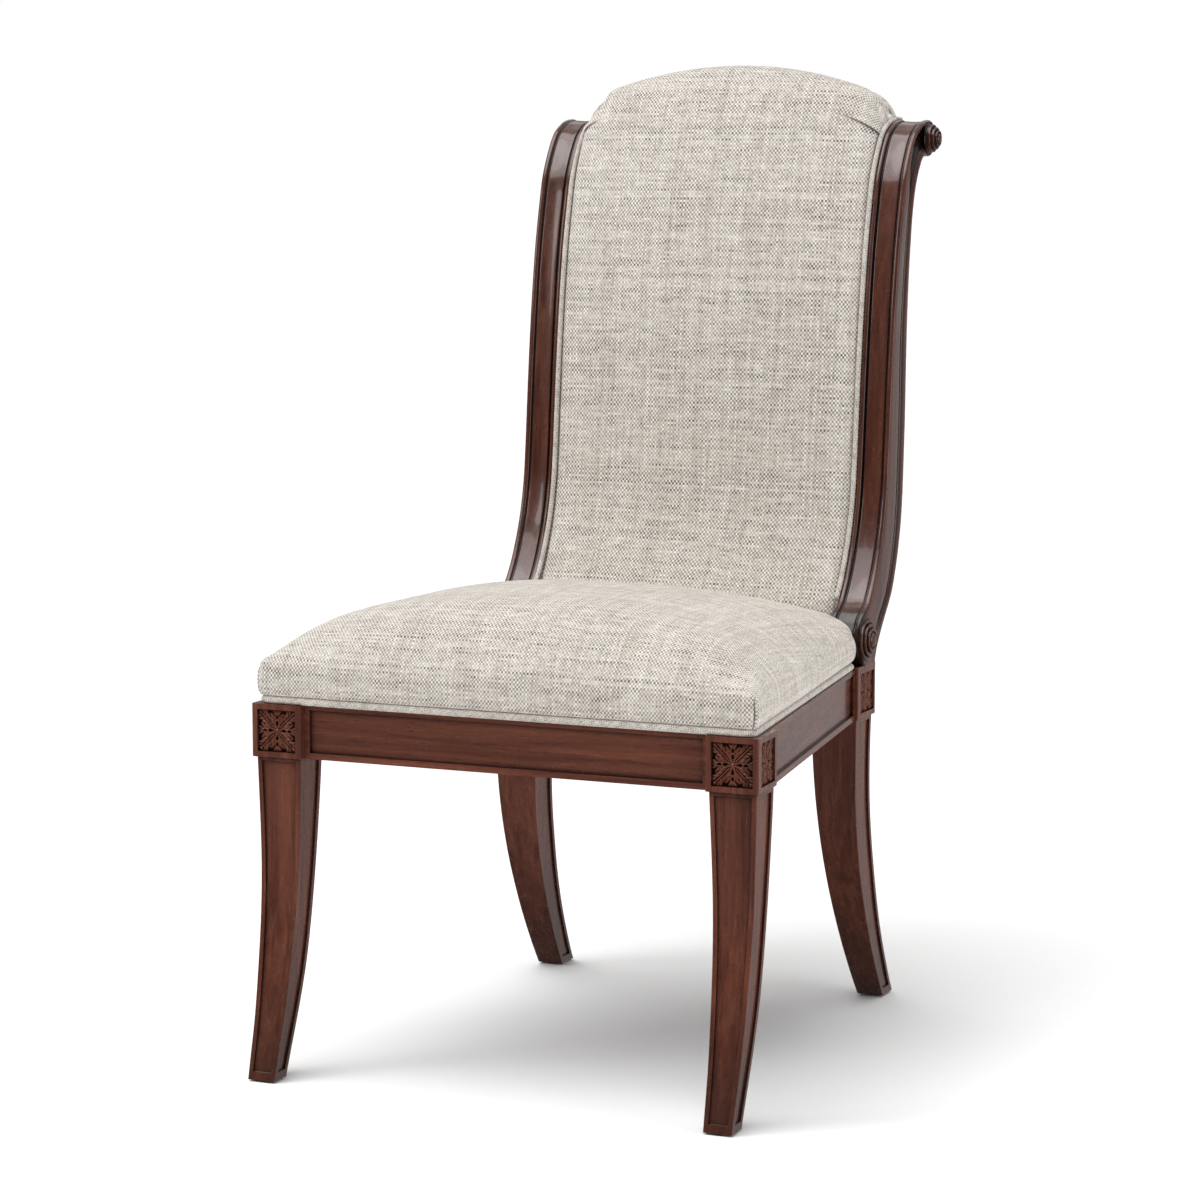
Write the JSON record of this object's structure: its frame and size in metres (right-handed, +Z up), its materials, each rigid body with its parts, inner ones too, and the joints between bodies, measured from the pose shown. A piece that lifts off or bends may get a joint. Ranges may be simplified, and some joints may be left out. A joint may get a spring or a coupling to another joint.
{
  "type": "side chair",
  "caption": "Scroll-back side chair with sabre legs, panelled seat rails, carved corner paterae, turned scroll bosses and a linen upholstered seat and arched back.",
  "frame": {"origin": "middle of the overall box, on the floor under the chair", "axes": "+Z up; the chair faces -Y; +X to the right of a person looking at its front"},
  "size_m": [0.5698, 0.7502, 1.061],
  "materials": {
    "mahogany": "dark red-brown stain under satin lacquer",
    "carved_mahogany": "carved, dark glaze in the hollows, satin lacquer",
    "frame_hardwood": "planed, unfinished",
    "linen": "slubby plain weave, oatmeal",
    "foam": "open-cell foam",
    "webbing": "woven jute webbing",
    "black_cambric": "thin bonded cloth",
    "steel": "zinc plated",
    "glide_plastic": "moulded"
  },
  "bodies": {
    "root": {"back_cover": "linen", "back_edge_welt_left": "linen", "back_edge_welt_right": "linen", "back_foam": "foam", "back_frame_screws": "steel", "back_stile_left": "mahogany", "back_stile_right": "mahogany", "back_upright_left": "frame_hardwood", "back_upright_right": "frame_hardwood", "back_webbing": "webbing", "back_welt_left": "linen", "back_welt_right": "linen", "corner_block_front_left": "frame_hardwood", "corner_block_front_right": "frame_hardwood", "corner_block_rear_left": "frame_hardwood", "corner_block_rear_right": "frame_hardwood", "corner_block_screws": "steel", "crest_rail": "frame_hardwood", "dust_cover": "black_cambric", "foot_glides": "glide_plastic", "front_leg_left": "mahogany", "front_leg_right": "mahogany", "front_patera_left": "carved_mahogany", "front_patera_right": "carved_mahogany", "front_rail": "mahogany", "lower_back_rail": "frame_hardwood", "lower_scroll_boss_left": "mahogany", "lower_scroll_boss_right": "mahogany", "outside_back": "linen", "rail_dowels": "frame_hardwood", "rear_leg_left": "mahogany", "rear_leg_right": "mahogany", "rear_rail": "mahogany", "seat_cover": "linen", "seat_foam": "foam", "seat_frame_front": "frame_hardwood", "seat_frame_left": "frame_hardwood", "seat_frame_rear": "frame_hardwood", "seat_frame_right": "frame_hardwood", "seat_screws": "steel", "seat_webbing_crosswise": "webbing", "seat_webbing_lengthwise": "webbing", "seat_welt": "linen", "side_patera_front_left": "carved_mahogany", "side_patera_front_right": "carved_mahogany", "side_patera_rear_left": "carved_mahogany", "side_patera_rear_right": "carved_mahogany", "side_rail_left": "mahogany", "side_rail_right": "mahogany", "stile_dowels": "frame_hardwood", "upper_scroll_boss_left": "mahogany", "upper_scroll_boss_right": "mahogany"}
  },
  "joints": []
}
